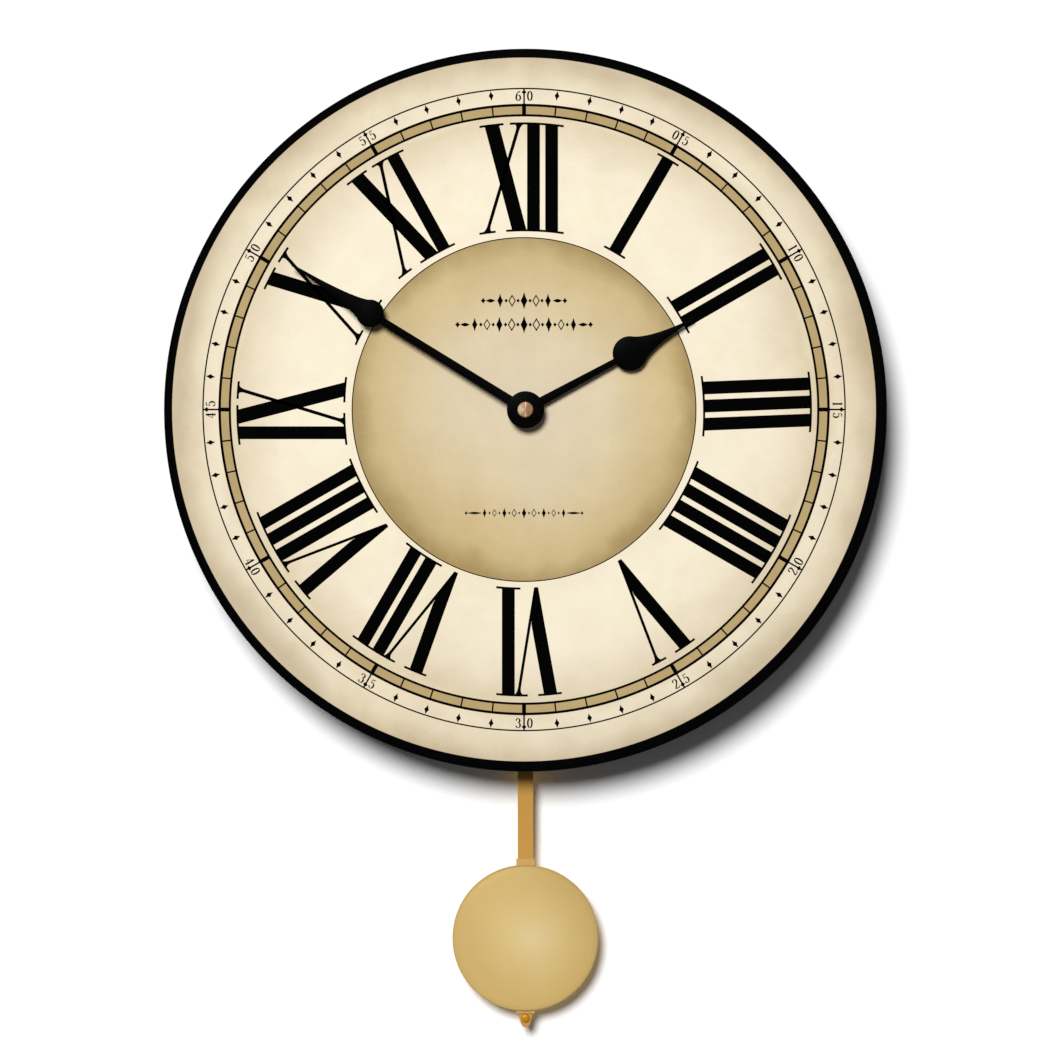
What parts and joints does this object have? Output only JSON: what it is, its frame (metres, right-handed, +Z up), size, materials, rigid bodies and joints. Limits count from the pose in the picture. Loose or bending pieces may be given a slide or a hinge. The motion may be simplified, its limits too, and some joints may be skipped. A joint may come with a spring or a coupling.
{
  "type": "pendulum wall clock",
  "caption": "Round wall clock with a flat black-edged dial board, spade hands, a battery quartz movement behind it and a short swinging pendulum with a domed brass bob below.",
  "frame": {"origin": "the flat seat at the top of the hanger's nail slot, on the clock's centre line and just in front of the wall", "axes": "+Z up along the pendulum, +X to the right for a person reading the dial, +Y into the wall; the dial faces -Y and the wall is the plane y = 0"},
  "size_m": [0.381, 0.0524, 0.5179],
  "materials": {
    "painted board": "satin black paint over fibreboard",
    "dial print": "aged cream paper print, matt lacquer",
    "black case": "moulded black plastic, fine texture",
    "white nylon": "moulded white nylon",
    "natural acetal": "moulded natural plastic",
    "black hand": "semi-gloss black paint",
    "bob brass": "satin lacquered brass",
    "rod brass": "lacquered golden brass",
    "turned brass": "turned brass",
    "zinc steel": "zinc plated steel",
    "spring steel": "bright nickel plated",
    "ferrite magnet": "dark sintered",
    "copper winding": "enamelled copper wire",
    "circuit laminate": "green solder mask",
    "chip resin": "black resin",
    "battery wrap": "printed foil sleeve over steel can",
    "black rubber": "matt rubber"
  },
  "bodies": {
    "clock_case": {"dial_board": "painted board", "printed_dial": "dial print", "case_front": "black case", "rear_cover": "black case", "pivot_pin": "spring steel", "rear_train_plate": "black case", "middle_train_plate": "black case", "stator_plate": "zinc steel", "coil_core": "zinc steel", "motor_coil_bobbin": "white nylon", "motor_coil_winding": "copper winding", "circuit_board": "circuit laminate", "quartz_crystal": "spring steel", "timing_chip": "chip resin", "battery_cell": "battery wrap", "battery_tray": "black case", "positive_contact": "spring steel", "negative_spring": "spring steel", "threaded_bushing": "turned brass", "rubber_gasket": "black rubber", "dial_washer": "turned brass", "hex_nut": "turned brass", "hanger_bracket": "zinc steel", "drive_bobbin": "white nylon", "drive_winding": "copper winding", "drive_circuit_board": "circuit laminate", "drive_transistor": "chip resin"},
    "minute_hand": {"minute_hand": "black hand", "minute_arbor": "spring steel", "hand_nut": "turned brass"},
    "hour_hand": {"hour_hand": "black hand", "hour_wheel": "natural acetal"},
    "reverser_wheel": {"reverser_wheel": "white nylon"},
    "setting_knob": {"setting_knob": "white nylon"},
    "seconds_wheel": {"seconds_wheel": "white nylon"},
    "rotor": {"rotor_pinion": "natural acetal", "rotor_magnet": "ferrite magnet"},
    "intermediate_wheel": {"intermediate_wheel": "white nylon"},
    "third_wheel": {"third_wheel": "white nylon"},
    "centre_wheel": {"centre_wheel": "turned brass"},
    "pendulum": {"pendulum_arm": "white nylon", "arm_magnet": "ferrite magnet", "pendulum_rod": "rod brass", "stop_rivet": "turned brass"},
    "bob": {"bob_shell": "bob brass", "bob_back": "bob brass", "bob_weight": "zinc steel", "bob_guide": "turned brass", "friction_spring": "spring steel"}
  },
  "joints": [
    {"name": "minute_hand_turn", "type": "hinge", "parent": "clock_case", "child": "minute_hand", "pos_m": [0, -0.0492, -0.046], "axis": [0, 1, 0], "continuous": true},
    {"name": "hour_hand_turn", "type": "hinge", "parent": "clock_case", "child": "hour_hand", "pos_m": [0, -0.0459, -0.046], "axis": [0, 1, 0], "continuous": true},
    {"name": "reverser_wheel_turn", "type": "hinge", "parent": "clock_case", "child": "reverser_wheel", "pos_m": [-0.00679, -0.0194, -0.05279], "axis": [0, 1, 0], "continuous": true},
    {"name": "setting_knob_turn", "type": "hinge", "parent": "clock_case", "child": "setting_knob", "pos_m": [-0.01759, -0.0021, -0.05279], "axis": [0, 1, 0], "continuous": true},
    {"name": "seconds_wheel_turn", "type": "hinge", "parent": "clock_case", "child": "seconds_wheel", "pos_m": [0, -0.01, -0.046], "axis": [0, 1, 0], "continuous": true},
    {"name": "rotor_turn", "type": "hinge", "parent": "clock_case", "child": "rotor", "pos_m": [0.01178, -0.0108, -0.03401], "axis": [0, 1, 0], "continuous": true},
    {"name": "intermediate_wheel_turn", "type": "hinge", "parent": "clock_case", "child": "intermediate_wheel", "pos_m": [0.0045, -0.0075, -0.03821], "axis": [0, 1, 0], "continuous": true},
    {"name": "third_wheel_turn", "type": "hinge", "parent": "clock_case", "child": "third_wheel", "pos_m": [-0.00883, -0.0125, -0.0409], "axis": [0, 1, 0], "continuous": true},
    {"name": "centre_wheel_turn", "type": "hinge", "parent": "clock_case", "child": "centre_wheel", "pos_m": [0, -0.0171, -0.046], "axis": [0, 1, 0], "continuous": true},
    {"name": "pendulum_swing", "type": "hinge", "parent": "clock_case", "child": "pendulum", "pos_m": [0, -0.0129, -0.092], "axis": [0, 1, 0], "range_deg": [-8, 8]},
    {"name": "bob_height", "type": "slide", "parent": "pendulum", "child": "bob", "axis": [0, 0, 1], "range_m": [0, 0.025]}
  ],
  "couplings": [
    {"joint": "hour_hand_turn", "follows": "minute_hand_turn", "ratio": 0.083333},
    {"joint": "reverser_wheel_turn", "follows": "minute_hand_turn", "ratio": -0.33333},
    {"joint": "setting_knob_turn", "follows": "minute_hand_turn", "ratio": 0.66667},
    {"joint": "rotor_turn", "follows": "seconds_wheel_turn", "ratio": 30},
    {"joint": "intermediate_wheel_turn", "follows": "seconds_wheel_turn", "ratio": -5},
    {"joint": "third_wheel_turn", "follows": "seconds_wheel_turn", "ratio": -0.13333},
    {"joint": "centre_wheel_turn", "follows": "seconds_wheel_turn", "ratio": 0.016667}
  ]
}
